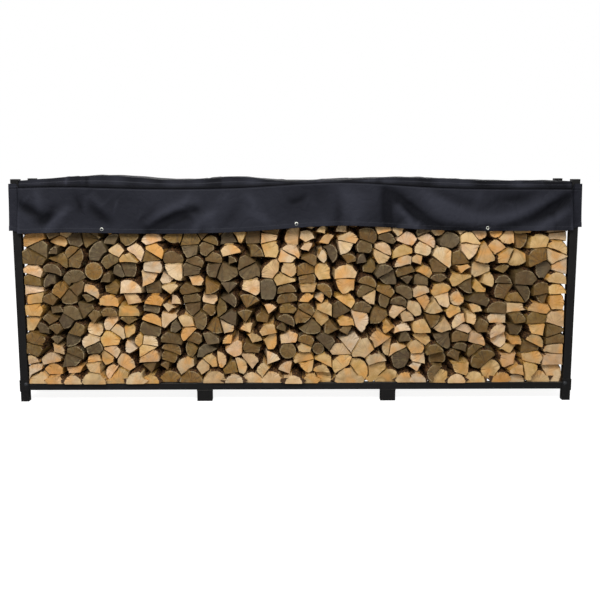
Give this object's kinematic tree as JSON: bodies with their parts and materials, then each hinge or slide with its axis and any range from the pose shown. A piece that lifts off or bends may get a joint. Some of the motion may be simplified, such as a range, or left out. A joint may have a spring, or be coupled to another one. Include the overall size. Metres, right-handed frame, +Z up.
{
  "type": "covered firewood rack",
  "caption": "Long free-standing firewood rack of square steel tube, stacked with split logs, with a fitted dark cloth cover over the top of the load.",
  "frame": {"origin": "on the ground under the middle of the rack", "axes": "+X along the length of the rack to the right seen from the front, +Y from the front face of the stack to the rear, +Z up"},
  "size_m": [3.088, 0.4056, 1.2369],
  "materials": {
    "frame_paint": "satin black powder coat over steel tube",
    "cap_plastic": "matte black moulded plastic",
    "cover_cloth": "dark coated cloth with a fine weave and a dull sheen",
    "firewood": "split and sawn logs, part fresh and part weathered, with bark"
  },
  "bodies": {
    "root": {"left_front_post": "frame_paint", "left_rear_post": "frame_paint", "right_front_post": "frame_paint", "right_rear_post": "frame_paint", "left_lower_crossbar": "frame_paint", "left_upper_crossbar": "frame_paint", "right_lower_crossbar": "frame_paint", "right_upper_crossbar": "frame_paint", "post_caps": "cap_plastic", "foot_caps": "cap_plastic", "front_left_rail": "frame_paint", "front_middle_rail": "frame_paint", "front_right_rail": "frame_paint", "rear_left_rail": "frame_paint", "rear_middle_rail": "frame_paint", "rear_right_rail": "frame_paint", "left_support_front_leg": "frame_paint", "left_support_rear_leg": "frame_paint", "left_support_crossbar": "frame_paint", "right_support_front_leg": "frame_paint", "right_support_rear_leg": "frame_paint", "right_support_crossbar": "frame_paint", "cover_top": "cover_cloth", "cover_front": "cover_cloth", "cover_rear": "cover_cloth", "cover_left_end": "cover_cloth", "cover_right_end": "cover_cloth", "log_course_01": "firewood", "log_course_02": "firewood", "log_course_03": "firewood", "log_course_04": "firewood", "log_course_05": "firewood", "log_course_06": "firewood", "log_course_07": "firewood", "log_course_08": "firewood", "log_course_09": "firewood", "log_course_10": "firewood"}
  },
  "joints": []
}
